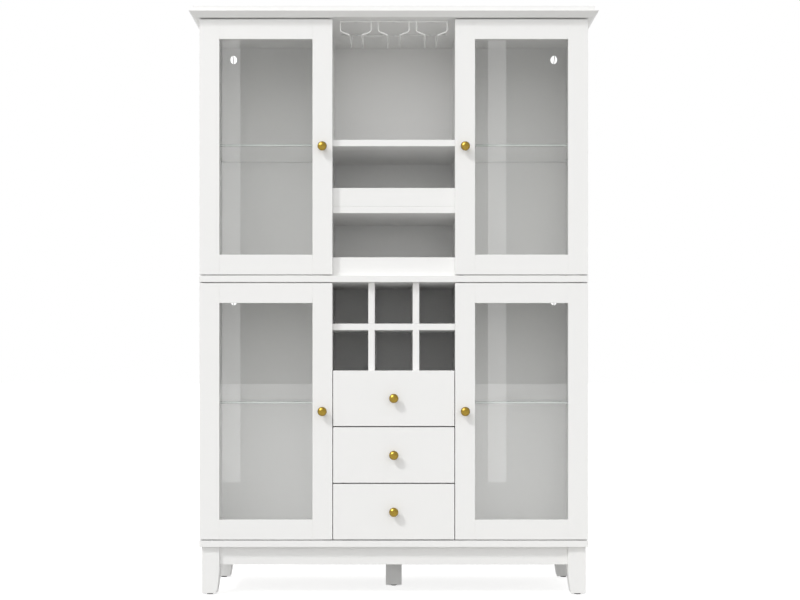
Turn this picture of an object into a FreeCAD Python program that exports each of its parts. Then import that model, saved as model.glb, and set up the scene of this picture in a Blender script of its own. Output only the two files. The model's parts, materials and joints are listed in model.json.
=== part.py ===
import FreeCAD, Part
import math
import os
import re

import Sketcher

# A free-standing wine cabinet: two stacked carcasses on five legs under a crown, with four glazed
# doors, an open niche with a wire stemware rack, six bottle cubbies and three drawers.
# Millimetres, +Z up. The front faces -Y, the origin is below the middle of the whole outline.

doc = FreeCAD.newDocument("WineCabinet")

# Driving dimensions. Each is a plain length that can be changed by itself.
SIZES = {
    # carcass
    "body_width": 1078, "body_depth": 400, "board_thick": 18, "reveal": 3, "side_reveal": 1,
    "lower_clear": 716, "upper_clear": 713, "niche_width": 354, "overrun": 2,
    "back_thick": 4, "back_recess": 6,
    # crown
    "ceiling_thick": 15, "top_thick": 15, "crown_foot": 12, "crown_overhang": 26, "top_overhang": 16,
    # legs and aprons
    "glide_thick": 4, "glide_radius": 9, "leg_height": 130, "leg_width": 49, "leg_inset": 12,
    "leg_side_inset": 6, "leg_rear_inset": 2, "leg_taper": 8, "leg_straight": 62, "leg_curve_share": 0.333,
    "apron_height": 51, "apron_thick": 18, "apron_recess": 10, "centre_leg_width": 46,
    # doors
    "door_thick": 18, "door_gap": 2, "door_lap": 7, "frame_width": 55, "rebate_width": 8,
    "glass_thick": 4, "glass_play": 1, "cup_radius": 17.5, "cup_depth": 12, "cup_edge": 22,
    "hinge_end": 90, "cup_wall": 1.5, "hinge_play": 0.3,
    "plate_length": 52, "plate_height": 34, "plate_thick": 3, "wing_length": 20, "wing_back": 24,
    "arm_height": 14, "arm_thick": 9, "arm_slope": 14, "nose_taper": 2,
    # knobs
    "knob_radius": 13, "knob_reach": 26, "knob_neck": 5, "knob_foot_radius": 8, "knob_foot_thick": 2,
    "knob_foot_slope": 2, "knob_neck_length": 6, "knob_rim": 2, "knob_dome": 9,
    # niche
    "shelf_high": 1247, "shelf_low": 1061, "rail_height": 52, "rail_thick": 15,
    # cubbies and drawers
    "drawer_height": 154, "drawer_gap": 3, "drawer_side_gap": 2, "cubby_rear_gap": 24,
    "drawer_box_height": 110, "drawer_rear_gap": 26, "drawer_wall": 12, "drawer_lift": 22,
    "drawer_base_thick": 4, "drawer_base_lift": 10, "drawer_groove": 5, "groove_play": 0.5,
    "slide_thick": 12.5, "slide_height": 42, "slide_wall": 1.5, "slide_rear_gap": 34,
    "slide_play": 0.4, "runner_height": 30, "slide_lift": 40,
    "slide_packer": 9,
    # glass shelves
    "glass_shelf_thick": 6, "glass_front_gap": 44, "glass_shelf_play": 2, "upper_glass_height": 1253,
    "lower_glass_height": 530, "pin_radius": 2.5, "pin_reach": 9, "pin_end": 40,
    # glass rack
    "wire_radius": 2, "channel_width": 86, "channel_pitch": 106, "slot_width": 34, "rack_drop": 38,
    "rack_knee": 28, "rack_front": 12, "rack_length": 175, "rack_bend": 5, "tab_width": 14,
    "tab_thick": 2,
    # cable holes
    "hole_width": 20, "hole_height": 26, "hole_web": 2.5, "web_lean": 2.5, "hole_side": 54,
    "hole_drop": 22,
}

# Small round stock is drawn with eight flats, and this is half the turn from one flat to the next.
FLATS = 8
HALF_TURN = 180 / FLATS

# Places worked out from the driving dimensions.
PLACES = {
    "half_width": "body_width / 2",
    "front": "(crown_overhang - body_depth) / 2",
    "rear": "(crown_overhang + body_depth) / 2",
    "carcass_front": "front + door_thick + door_gap",
    "carcass_depth": "body_depth - door_thick - door_gap",
    "back_face": "rear - back_recess - back_thick",
    "inner_depth": "back_face - carcass_front",
    "bottom_z": "glide_thick + leg_height",
    "lower_z": "bottom_z + board_thick",
    "mid_z": "lower_z + lower_clear",
    "upper_z": "mid_z + board_thick",
    "ceiling_z": "upper_z + upper_clear",
    "top_z": "ceiling_z + ceiling_thick",
    "niche_half": "niche_width / 2",
    "cupboard_width": "half_width - board_thick - niche_half - board_thick",
    "door_inner": "niche_half - door_lap",
    "door_width": "half_width - side_reveal - door_inner",
    "lower_door_z": "lower_z + reveal",
    "lower_door_height": "lower_clear - 2 * reveal",
    "upper_door_z": "upper_z + reveal",
    "upper_door_height": "upper_clear - 2 * reveal",
    "drawer_pitch": "drawer_height + drawer_gap",
    "drawer_top": "lower_door_z + 3 * drawer_height + 2 * drawer_gap",
    "cubby_floor_z": "drawer_top - door_gap - board_thick",
    "cubby_z": "cubby_floor_z + board_thick",
    "cubby_cell": "(mid_z - cubby_z - board_thick) / 2",
    "cubby_bay": "(niche_width - 2 * board_thick) / 3",
    "front_width": "2 * (door_inner - drawer_side_gap)",
    "cubby_depth": "inner_depth - cubby_rear_gap",
    "pin_drop": "pin_radius * cos(%g)" % HALF_TURN,
    "packed_half": "niche_half - slide_packer",
    "box_width": "2 * (packed_half - slide_thick)",
    "drawer_box_depth": "inner_depth + door_gap - drawer_rear_gap",
    "slide_length": "inner_depth - slide_rear_gap",
    "glass_shelf_depth": "inner_depth - glass_front_gap - glass_shelf_play",
    "knob_rim_z": "knob_reach - knob_dome",
}


def fill(sheet, rows, formula):
    """Writes one alias per row: a plain number, or a formula of the aliases."""
    for row, (alias, value) in enumerate(rows.items(), start=1):
        cell = "B%d" % row
        sheet.set("A%d" % row, alias)
        sheet.set(cell, formula(value))
        sheet.setAlias(cell, alias)


def bound(text):
    """The formula with each alias read from the sheet that holds it."""
    def full(word):
        name = word.group(0)
        if name in SIZES:
            return "Sizes." + name
        if name in PLACES:
            return "Places." + name
        return name
    return re.sub(r"[a-z_]+", full, text)


sizes = doc.addObject("Spreadsheet::Sheet", "Sizes")
fill(sizes, SIZES, str)
doc.recompute()
places = doc.addObject("Spreadsheet::Sheet", "Places")
fill(places, PLACES, lambda text: "=" + re.sub(
    r"[a-z_]+", lambda w: "Sizes." + w.group(0) if w.group(0) in SIZES else w.group(0), text))
doc.recompute()

nodes = []


def node(piece, label):
    """Names a finished sub-part, which becomes a file of its own."""
    piece.Label = label
    nodes.append(piece)
    return piece


def moved(piece, corner):
    """Binds a piece's place to three formulas."""
    for axis, text in zip("xyz", corner):
        piece.setExpression("Placement.Base." + axis, bound(text))
    return piece


def block(name, size, corner):
    """A board: its three lengths, then its lowest corner."""
    piece = doc.addObject("Part::Box", name)
    for side, text in zip(("Length", "Width", "Height"), size):
        piece.setExpression(side, bound(text))
    return moved(piece, corner)


def rod(name, radius, length, centre, turn=(0, 0, 1, 0)):
    """A round bar from its centre point along Z, turned by (axis, degrees) if asked."""
    piece = doc.addObject("Part::Cylinder", name)
    piece.setExpression("Radius", bound(radius))
    piece.setExpression("Height", bound(length))
    piece.Placement.Rotation = FreeCAD.Rotation(FreeCAD.Vector(*turn[:3]), turn[3])
    return moved(piece, centre)


def peg(name, radius, length, centre):
    """A small eight-sided pin along X from its lowest X."""
    piece = doc.addObject("Part::Prism", name)
    piece.Polygon = FLATS
    piece.setExpression("Circumradius", bound(radius))
    piece.setExpression("Height", bound(length))
    piece.Placement.Rotation = FreeCAD.Rotation(FreeCAD.Vector(0, 1, 0), 90) * FreeCAD.Rotation(
        FreeCAD.Vector(0, 0, 1), HALF_TURN)
    return moved(piece, centre)


def cut(name, base, tool):
    """Base less tool."""
    piece = doc.addObject("Part::Cut", name)
    piece.Base, piece.Tool = base, tool
    return piece


def fused(name, pieces):
    """Pieces that are one solid."""
    piece = doc.addObject("Part::MultiFuse", name)
    piece.Shapes = pieces
    piece.Refine = True
    return piece


def group(name, pieces):
    """Like pieces that stay separate solids in one node."""
    piece = doc.addObject("Part::Compound", name)
    piece.Links = pieces
    return piece


def value(text):
    """A formula's present value, for a sketch's first guess."""
    return float(sizes.evalExpression(bound(text)))


def plane(body, role):
    """One of a body's own origin planes."""
    return next(item for item in body.Origin.OriginFeatures if item.Role == role)


def outline(body, role, points):
    """A closed sketch of straight edges whose corners are formulas. A corner with a third and
    fourth formula starts an arc to the next corner, through that third and fourth place."""
    sketch = body.newObject("Sketcher::SketchObject", body.Name + role[:2] + "Outline")
    sketch.AttachmentSupport = (plane(body, role), [""])
    sketch.MapMode = "FlatFace"
    spots = [[value(text) for text in point] for point in points]
    ends = []
    for index, spot in enumerate(spots):
        after = spots[(index + 1) % len(spots)]
        start = FreeCAD.Vector(spot[0], spot[1], 0)
        end = FreeCAD.Vector(after[0], after[1], 0)
        turns_left = True
        if len(spot) == 4:
            middle = FreeCAD.Vector(spot[2], spot[3], 0)
            turns_left = (middle - start).cross(end - middle).z > 0
            run = (start, middle, end) if turns_left else (end, middle, start)
            sketch.addGeometry(Part.Arc(*run))
        else:
            sketch.addGeometry(Part.LineSegment(start, end))
        # An arc always runs anticlockwise, so a clockwise one starts at the far corner.
        ends.append((1, 2) if turns_left else (2, 1))
    for index in range(len(spots)):
        after = (index + 1) % len(spots)
        sketch.addConstraint(Sketcher.Constraint(
            "Coincident", index, ends[index][1], after, ends[after][0]))
    for index, point in enumerate(points):
        for kind, text in zip(("DistanceX", "DistanceY"), point):
            number = value(text)
            row = sketch.addConstraint(
                Sketcher.Constraint(kind, -1, 1, index, ends[index][0], number))
            sketch.setExpression("Constraints[%d]" % row, bound(text))
    for index, point in enumerate(points):
        if len(point) == 4:
            spot = sketch.addGeometry(Part.Point(FreeCAD.Vector(value(point[2]), value(point[3]), 0)))
            sketch.toggleConstruction(spot)
            sketch.addConstraint(Sketcher.Constraint("PointOnObject", spot, 1, index))
            for kind, text in zip(("DistanceX", "DistanceY"), point[2:]):
                row = sketch.addConstraint(Sketcher.Constraint(kind, -1, 1, spot, 1, value(text)))
                sketch.setExpression("Constraints[%d]" % row, bound(text))
    return sketch


def side_place(sign, near, width):
    """The lower X of a piece that stands off the middle by near and is width wide."""
    return near if sign > 0 else "-(%s) - (%s)" % (near, width)


# Carcass boards. The bottom and middle boards run full width and reach the doors' front.
full = ("body_width", "body_depth", "board_thick")
node(block("BottomBoard", full, ("-half_width", "front", "bottom_z")), "bottom_board")
node(block("MidBoard", full, ("-half_width", "front", "mid_z")), "mid_board")
tiers = (("lower", "lower_clear", "lower_z"), ("upper", "upper_clear", "upper_z"))
for tier, clear, level in tiers:
    for side, sign in (("left", -1), ("right", 1)):
        edge = side_place(sign, "half_width - board_thick", "board_thick")
        node(block(tier + side + "Side", ("board_thick", "carcass_depth", clear),
                   (edge, "carcass_front", level)), tier + "_side_" + side)
    partitions = [
        block(tier + name + "Partition", ("board_thick", "inner_depth", clear),
              (side_place(sign, "niche_half", "board_thick"), "carcass_front", level))
        for name, sign in (("Left", -1), ("Right", 1))]
    node(group(tier + "Partitions", partitions), tier + "_partitions")
node(block("CeilingPanel", ("body_width", "body_depth", "ceiling_thick"),
           ("-half_width", "front", "ceiling_z")), "ceiling_panel")


# Crown: a square-edged top board over three sloping strips that are mitred at the front corners.
node(block("TopBoard", ("body_width + 2 * top_overhang", "body_depth + top_overhang", "top_thick"),
           ("-half_width - top_overhang", "front - top_overhang", "top_z")), "top_board")


def crown_ring(name):
    """The moulding's whole run round the ceiling panel, before its mitres. Its front and sides slope
    out from the foot to the overhang, and its rear is flush."""
    slope = doc.addObject("Part::Wedge", name + "Slope")
    for word, text in (
            ("Xmin", "-half_width - crown_foot"), ("Xmax", "half_width + crown_foot"),
            ("X2min", "-half_width - crown_overhang"), ("X2max", "half_width + crown_overhang"),
            ("Zmin", "-rear"), ("Zmax", "-front + crown_foot"),
            ("Z2min", "-rear"), ("Z2max", "-front + crown_overhang"), ("Ymin", "0"), ("Ymax", "ceiling_thick")):
        slope.setExpression(word, bound(text))
    slope.Placement.Rotation = FreeCAD.Rotation(FreeCAD.Vector(1, 0, 0), 90)
    moved(slope, ("0", "0", "ceiling_z"))
    core = block(name + "Core", ("body_width", "body_depth + overrun", "ceiling_thick + 2 * overrun"),
                 ("-half_width", "front", "ceiling_z - overrun"))
    return cut(name, slope, core)


def mitre(name):
    """The space of the front strip, which widens forwards from the panel's corners at 45 degrees."""
    piece = doc.addObject("Part::Wedge", name)
    for word, text in (
            ("Xmin", "-half_width - crown_overhang"), ("Xmax", "half_width + crown_overhang"),
            ("X2min", "-half_width"), ("X2max", "half_width"), ("Ymin", "0"),
            ("Ymax", "crown_overhang"), ("Zmin", "0"), ("Zmax", "ceiling_thick"),
            ("Z2min", "0"), ("Z2max", "ceiling_thick")):
        piece.setExpression(word, bound(text))
    return moved(piece, ("0", "front - crown_overhang", "ceiling_z"))


strip = doc.addObject("Part::Common", "CrownFront")
strip.Base, strip.Tool = crown_ring("CrownFrontRing"), mitre("CrownFrontMitre")
node(strip, "crown_front")
node(cut("CrownSides", crown_ring("CrownSideRing"), mitre("CrownSideMitre")), "crown_sides")


# Back panels, let in behind the sides, with a cable hole near each outer top corner.
def hole_half(name, points, corner):
    """One side of an oval hole: an arc on the web's edge, cut through the panel."""
    body = doc.addObject("PartDesign::Body", name)
    pad = body.newObject("PartDesign::Pad", name + "Pad")
    pad.Profile = outline(body, "XZ_Plane", points)
    pad.setExpression("Length", bound("back_thick + 2 * overrun"))
    pad.Reversed = True
    return moved(body, corner)


def cable_holes(name, level):
    """Two upright oval holes, each with a slim web left standing that leans outwards at its top."""
    tools = []
    for side, sign in (("Left", "-"), ("Right", "")):
        corner = (sign + "(half_width - hole_side)", "back_face - overrun", level)
        top = sign + "web_lean"
        tools.append(hole_half(name + side + "Slot", [
            (top + " + hole_web / 2", "hole_height", "hole_width / 2", "hole_height / 2"),
            ("hole_web / 2", "0")], corner))
        tools.append(hole_half(name + side + "Twin", [
            ("-hole_web / 2", "0", "-hole_width / 2", "hole_height / 2"),
            (top + " - hole_web / 2", "hole_height")], corner))
    return tools


for tier, clear, level in tiers:
    panel = block(tier + "Panel", ("body_width - 2 * board_thick", "back_thick", clear),
                  ("-half_width + board_thick", "back_face", level))
    holes = cable_holes(tier + "Hole", level + " + " + clear + " - hole_drop - hole_height")
    for number, hole in enumerate(holes):
        panel = cut("%sPanelCut%d" % (tier, number), panel, hole)
    node(panel, tier + "_back_panel")

# Legs: square at the top, their inner faces tapering in a slow curve towards the floor.
def leg(name, x_sign, y_sign):
    """One corner leg, tapered on the two faces that look into the cabinet."""
    body = doc.addObject("PartDesign::Body", name)
    face = [("0", "0"), ("leg_width - leg_taper", "0",
                         "leg_width - leg_taper * leg_curve_share", "(leg_height - leg_straight) / 2"),
            ("leg_width", "leg_height - leg_straight"), ("leg_width", "leg_height"), ("0", "leg_height")]
    front = outline(body, "XZ_Plane", face)
    pad = body.newObject("PartDesign::Pad", name + "Pad")
    pad.Profile = front
    pad.setExpression("Length", bound("leg_width"))
    pad.Reversed = True
    off = [("leg_width + overrun", "0"), ("leg_width + overrun", "leg_height - leg_straight"),
           ("leg_width", "leg_height - leg_straight",
            "leg_width - leg_taper * leg_curve_share", "(leg_height - leg_straight) / 2"),
           ("leg_width - leg_taper", "0")]
    side = outline(body, "YZ_Plane", off)
    taper = body.newObject("PartDesign::Pocket", name + "Taper")
    taper.Profile = side
    taper.Type = "ThroughAll"
    taper.Midplane = True
    quarter = {(-1, -1): 0, (1, -1): 90, (1, 1): 180, (-1, 1): 270}[(x_sign, y_sign)]
    body.Placement.Rotation = FreeCAD.Rotation(FreeCAD.Vector(0, 0, 1), quarter)
    x = "-half_width + leg_side_inset" if x_sign < 0 else "half_width - leg_side_inset"
    y = "front + leg_inset" if y_sign < 0 else "rear - leg_rear_inset"
    return moved(body, (x, y, "glide_thick"))


corner_legs = [leg("Leg%d%d" % (x_sign + 1, y_sign + 1), x_sign, y_sign)
               for x_sign in (-1, 1) for y_sign in (-1, 1)]
node(group("CornerLegs", corner_legs), "corner_legs")
node(block("CentreLeg", ("centre_leg_width", "centre_leg_width", "leg_height"),
           ("-centre_leg_width / 2", "(front + rear - centre_leg_width) / 2", "glide_thick")),
     "centre_leg")

between_legs = "2 * (half_width - leg_side_inset - leg_width)"
apron_z = "bottom_z - apron_height"
aprons = [
    block("LongApron" + name, (between_legs, "apron_thick", "apron_height"),
          ("-half_width + leg_side_inset + leg_width", y, apron_z))
    for name, y in (("Front", "front + leg_inset + apron_recess"),
                    ("Rear", "rear - leg_rear_inset - apron_recess - apron_thick"))]
aprons += [
    block("SideApron" + name, ("apron_thick", "body_depth - leg_inset - leg_rear_inset - 2 * leg_width", "apron_height"),
          (side_place(sign, "half_width - leg_side_inset - apron_recess - apron_thick", "apron_thick"),
           "front + leg_inset + leg_width", apron_z))
    for name, sign in (("Left", -1), ("Right", 1))]
node(group("Aprons", aprons), "aprons")

# Glides: dark round pads nailed under the legs.
foot_middle = "(leg_width - leg_taper) / 2"
glides = [
    rod("Glide%d" % number, "glide_radius", "glide_thick", (x, y, "0"))
    for number, (x, y) in enumerate((
        ("-half_width + leg_side_inset + " + foot_middle, "front + leg_inset + " + foot_middle),
        ("half_width - leg_side_inset - " + foot_middle, "front + leg_inset + " + foot_middle),
        ("-half_width + leg_side_inset + " + foot_middle, "rear - leg_rear_inset - " + foot_middle),
        ("half_width - leg_side_inset - " + foot_middle, "rear - leg_rear_inset - " + foot_middle),
        ("0", "(front + rear) / 2")))]
node(group("Glides", glides), "glides")

# Niche: two shelves between the partitions, and a retaining rail on the lower shelf and floor.
niche_shelves = [
    block("NicheShelf" + name, ("niche_width", "inner_depth", "board_thick"),
          ("-niche_half", "carcass_front", level))
    for name, level in (("High", "shelf_high"), ("Low", "shelf_low"))]
node(group("NicheShelves", niche_shelves), "niche_shelves")
niche_rails = [
    block("NicheRail" + name, ("niche_width", "rail_thick", "rail_height"),
          ("-niche_half", "carcass_front", level))
    for name, level in (("High", "shelf_low + board_thick"), ("Low", "upper_z"))]
node(group("NicheRails", niche_rails), "niche_rails")

# Bottle cubbies: a floor, and one shelf and two uprights that are halved into each other.
node(block("CubbyFloor", ("niche_width", "inner_depth", "board_thick"),
           ("-niche_half", "carcass_front", "cubby_floor_z")), "cubby_floor")
cubby_shelf = block("CubbyShelfBoard", ("niche_width", "cubby_depth", "board_thick"),
                    ("-niche_half", "carcass_front", "cubby_z + cubby_cell"))
uprights = []
for number, near in enumerate(("-niche_half + cubby_bay", "niche_half - cubby_bay - board_thick")):
    notch = block("ShelfNotch%d" % number,
                  ("board_thick", "cubby_depth / 2 + overrun", "board_thick + 2 * overrun"),
                  (near, "carcass_front + cubby_depth / 2", "cubby_z + cubby_cell - overrun"))
    cubby_shelf = cut("CubbyShelf%d" % number, cubby_shelf, notch)
    upright = block("UprightBoard%d" % number, ("board_thick", "cubby_depth", "mid_z - cubby_z"),
                    (near, "carcass_front", "cubby_z"))
    slot = block("UprightNotch%d" % number,
                 ("board_thick + 2 * overrun", "cubby_depth / 2 + overrun", "board_thick"),
                 (near + " - overrun", "carcass_front - overrun", "cubby_z + cubby_cell"))
    uprights.append(cut("Upright%d" % number, upright, slot))
node(cubby_shelf, "cubby_shelf")
node(group("CubbyUprights", uprights), "cubby_uprights")


# Knob: a turned brass button with a domed head on a short neck, seated on the face that carries it.
# It is drawn with flats, ring by ring from its foot to its crown.
KNOB_FLATS = 18
DOME_SHARES = ((1, 0), (0.94, 0.34), (0.77, 0.64), (0.5, 0.87), (0.17, 1))


def knob_rings():
    """Each ring's corners, from the foot up along Z."""
    foot_end = "knob_foot_thick + knob_foot_slope"
    profile = [("knob_foot_radius", "0"), ("knob_foot_radius", "knob_foot_thick"), ("knob_neck", foot_end),
               ("knob_neck", foot_end + " + knob_neck_length"), ("knob_radius", "knob_rim_z - knob_rim")]
    profile += [("knob_radius * %g" % out, "knob_rim_z + knob_dome * %g" % up) for out, up in DOME_SHARES]
    rings = []
    for radius, reach in profile:
        corner = FreeCAD.Vector(value(radius), 0, value(reach))
        turns = [FreeCAD.Rotation(FreeCAD.Vector(0, 0, 1), 360 * step / KNOB_FLATS)
                 for step in range(KNOB_FLATS)]
        rings.append([turn.multVec(corner) for turn in turns])
    return rings


def knob(name, x, z):
    """A knob whose axis points forwards from the doors' front."""
    rings = knob_rings()
    flats = [Part.Face(Part.makePolygon(ring + ring[:1])) for ring in (rings[0], rings[-1])]
    for low, high in zip(rings, rings[1:]):
        for side in range(KNOB_FLATS):
            after = (side + 1) % KNOB_FLATS
            flats.append(Part.Face(Part.makePolygon(
                [low[side], low[after], high[after], high[side], low[side]])))
    button = doc.addObject("Part::Feature", name)
    button.Shape = Part.Solid(Part.Shell(flats))
    button.Placement.Rotation = FreeCAD.Rotation(FreeCAD.Vector(1, 0, 0), 90)
    return moved(button, (x, "front", z))


# Doors: stiles and rails rebated from behind for the pane, two cup hinges let into the outer stile.
def door(tier, side, sign, level, tall):
    """One door and what it carries; sign is 1 on the right."""
    word = tier + side.capitalize() + "Door"
    label = "%s_door_%s_" % (tier, side)
    corner = side_place(sign, "door_inner", "door_width")
    lip = "(frame_width - rebate_width)"
    rebate = block(word + "Rebate", ("door_width - 2 * " + lip, "door_thick / 2 + overrun",
                                     tall + " - 2 * " + lip),
                   (corner + " + " + lip, "front + door_thick / 2", level + " + " + lip))
    boards = {}
    for name, start in (("Left", corner), ("Right", corner + " + door_width - frame_width")):
        stile = block(word + name + "Stile", ("frame_width", "door_thick", tall), (start, "front", level))
        boards[name] = cut(word + name + "StileRebated", stile, rebate)
    for name, height in (("Bottom", level), ("Top", level + " + " + tall + " - frame_width")):
        rail = block(word + name + "Rail", ("door_width - 2 * frame_width", "door_thick", "frame_width"),
                     (corner + " + frame_width", "front", height))
        boards[name] = cut(word + name + "RailRebated", rail, rebate)
    outer = "Right" if sign > 0 else "Left"
    axis_x = "half_width - side_reveal - cup_edge"
    if sign < 0:
        axis_x = "-(%s)" % axis_x
    heights = (level + " + hinge_end", level + " + " + tall + " - hinge_end")
    cups = []
    for number, height in enumerate(heights):
        bore = rod(word + "Bore%d" % number, "cup_radius", "cup_depth + overrun",
                   (axis_x, "front + door_thick + overrun", height), (1, 0, 0, 90))
        boards[outer] = cut(word + "Bored%d" % number, boards[outer], bore)
        cup = rod(word + "Cup%d" % number, "cup_radius", "cup_depth",
                  (axis_x, "front + door_thick", height), (1, 0, 0, 90))
        well = rod(word + "Well%d" % number, "cup_radius - cup_wall",
                   "cup_depth - cup_wall + overrun",
                   (axis_x, "front + door_thick + overrun", height), (1, 0, 0, 90))
        cups.append(cut(word + "HollowCup%d" % number, cup, well))
    node(group(word + "Frame", list(boards.values())), label + "frame")
    pane = "(frame_width - rebate_width + glass_play)"
    node(block(word + "Pane", ("door_width - 2 * " + pane, "glass_thick", tall + " - 2 * " + pane),
               (corner + " + " + pane, "front + door_thick / 2", level + " + " + pane)),
         label + "glass")
    node(group(word + "Cups", cups), label + "hinge_cups")
    grip = "door_inner + frame_width / 2" if sign > 0 else "-door_inner - frame_width / 2"
    node(knob(word + "Knob", grip, level + " + " + tall + " / 2"), label + "knob")


for tier, clear, level in tiers:
    for side, sign in (("left", -1), ("right", 1)):
        door(tier, side, sign, tier + "_door_z", tier + "_door_height")

# Hinges: a cross-shaped plate screwed to the side, and on it an arm whose nose reaches into its cup.
nose = "(door_gap + cup_depth - cup_wall - hinge_play)"


def hinge_arm(name, sign, x, height):
    """The arm's outline seen from above, from its rear end forwards, padded to its height."""
    body = doc.addObject("PartDesign::Body", name)
    off = "-" if sign > 0 else ""
    profile = [("0", "0"), (off + "arm_thick / 2", "0"), (off + "arm_thick", "-arm_slope"),
               (off + "arm_thick", "-plate_length"),
               (off + "(arm_thick - nose_taper)", "-plate_length - " + nose),
               (off + "nose_taper", "-plate_length - " + nose), ("0", "-plate_length")]
    pad = body.newObject("PartDesign::Pad", name + "Pad")
    pad.Profile = outline(body, "XY_Plane", profile)
    pad.setExpression("Length", bound("arm_height"))
    return moved(body, (x, "carcass_front + plate_length", height + " - arm_height / 2"))


arms = []
for tier, clear, level in tiers:
    for side, sign in (("Left", -1), ("Right", 1)):
        for number, height in enumerate((tier + "_door_z + hinge_end",
                                         tier + "_door_z + " + tier + "_door_height - hinge_end")):
            word = "Hinge%s%s%d" % (tier, side, number)
            plate_x = side_place(sign, "half_width - board_thick - plate_thick", "plate_thick")
            face_x = side_place(sign, "half_width - board_thick - plate_thick", "0")
            strip = block(word + "Strip", ("plate_thick", "plate_length - reveal", "arm_height"),
                          (plate_x, "carcass_front + reveal", height + " - arm_height / 2"))
            wings = block(word + "Wings", ("plate_thick", "wing_length", "plate_height"),
                          (plate_x, "carcass_front + wing_back", height + " - plate_height / 2"))
            arms.append(fused(word, [strip, wings, hinge_arm(word + "Arm", sign, face_x, height)]))
node(group("HingeArms", arms), "hinge_arms")


# Drawers: a front that covers a grooved box, with the moving halves of the slides on its sides.
def drawer(number):
    """Drawer 1 is the lowest."""
    word = "Drawer%d" % number
    label = "drawer_%d_" % number
    base = "lower_door_z + %d * drawer_pitch" % (number - 1)
    node(block(word + "Front", ("front_width", "door_thick", "drawer_height"),
               ("-front_width / 2", "front", base)), label + "front")
    behind = "front + door_thick"
    low = base + " + drawer_lift"
    outer = block(word + "Blank", ("box_width", "drawer_box_depth", "drawer_box_height"),
                  ("-box_width / 2", behind, low))
    inner = block(word + "Room", ("box_width - 2 * drawer_wall", "drawer_box_depth - 2 * drawer_wall",
                                  "drawer_box_height + 2 * overrun"),
                  ("-box_width / 2 + drawer_wall", behind + " + drawer_wall", low + " - overrun"))
    groove = block(word + "Groove", ("box_width - 2 * drawer_wall + 2 * drawer_groove",
                                     "drawer_box_depth - 2 * drawer_wall + 2 * drawer_groove",
                                     "drawer_base_thick"),
                   ("-box_width / 2 + drawer_wall - drawer_groove",
                    behind + " + drawer_wall - drawer_groove", low + " + drawer_base_lift"))
    node(cut(word + "Box", cut(word + "Shell", outer, inner), groove), label + "box")
    reach = "(drawer_wall - drawer_groove + groove_play)"
    node(block(word + "Base", ("box_width - 2 * " + reach, "drawer_box_depth - 2 * " + reach,
                               "drawer_base_thick"),
               ("-box_width / 2 + " + reach, behind + " + " + reach, low + " + drawer_base_lift")),
         label + "base")
    runners = [
        block(word + "Runner" + side, ("slide_thick - slide_wall - slide_play", "slide_length",
                                       "runner_height"),
              (side_place(sign, "box_width / 2", "slide_thick - slide_wall - slide_play"),
               "carcass_front", base + " + slide_lift + (slide_height - runner_height) / 2"))
        for side, sign in (("Left", -1), ("Right", 1))]
    node(group(word + "Runners", runners), label + "runners")
    node(knob(word + "Knob", "0", base + " + drawer_height / 2"), label + "knob")


# Fixed halves of the slides, and the strips that pack them out clear of the doors' inner edges.
channels, packers = [], []
for number in (1, 2, 3):
    drawer(number)
    for side, sign in (("Left", -1), ("Right", 1)):
        word = "Channel%d%s" % (number, side)
        level = "lower_door_z + %d * drawer_pitch + slide_lift" % (number - 1)
        packers.append(block("Packer%d%s" % (number, side), ("slide_packer", "slide_length", "slide_height"),
                             (side_place(sign, "packed_half", "slide_packer"), "carcass_front", level)))
        web = block(word + "Web", ("slide_thick - slide_play", "slide_length", "slide_height"),
                    (side_place(sign, "packed_half - slide_thick + slide_play",
                                "slide_thick - slide_play"), "carcass_front", level))
        room = block(word + "Room", ("slide_thick", "slide_length + 2 * overrun",
                                     "slide_height - 2 * slide_wall"),
                     (side_place(sign, "packed_half - slide_thick - slide_wall", "slide_thick"),
                      "carcass_front - overrun", level + " + slide_wall"))
        channels.append(cut(word, web, room))
node(group("SlideChannels", channels), "slide_channels")
node(group("SlidePackers", packers), "slide_packers")

# Glass shelves on four pins each, one in each cupboard.
shelves, pins = [], []
for tier, level in (("Upper", "upper_glass_height"), ("Lower", "lower_glass_height")):
    for side, sign in (("Left", -1), ("Right", 1)):
        near = "niche_half + board_thick"
        start = "back_face - glass_shelf_play - glass_shelf_depth"
        shelves.append(block(
            tier + side + "Glass", ("cupboard_width - 2 * glass_shelf_play", "glass_shelf_depth",
                                    "glass_shelf_thick"),
            (side_place(sign, near + " + glass_shelf_play", "cupboard_width - 2 * glass_shelf_play"),
             start, level)))
        for spot, depth in enumerate(("pin_end", "glass_shelf_depth - pin_end")):
            for wall, edge in (("Inner", near), ("Outer", near + " + cupboard_width - pin_reach")):
                reach = side_place(sign, edge, "pin_reach")
                pins.append(peg("Pin%s%s%s%d" % (tier, side, wall, spot), "pin_radius", "pin_reach",
                                (reach, start + " + " + depth, level + " - pin_drop")))
node(group("GlassShelves", shelves), "glass_shelves")
node(group("ShelfPins", pins), "shelf_pins")


# Stemware rack: six bent wires welded to two cross bars that are screwed up into the ceiling.
def wire_end(centre, axis):
    """The eight-sided section of the wire round a point, square to axis."""
    start = FreeCAD.Vector(value("wire_radius"), 0, 0) if axis.z else FreeCAD.Vector(0, 0, value("wire_radius"))
    corners = []
    for corner in range(FLATS + 1):
        turn = FreeCAD.Rotation(axis, HALF_TURN * (2 * corner + 1))
        corners.append(centre + turn.multVec(start))
    return Part.makePolygon(corners)


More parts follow.
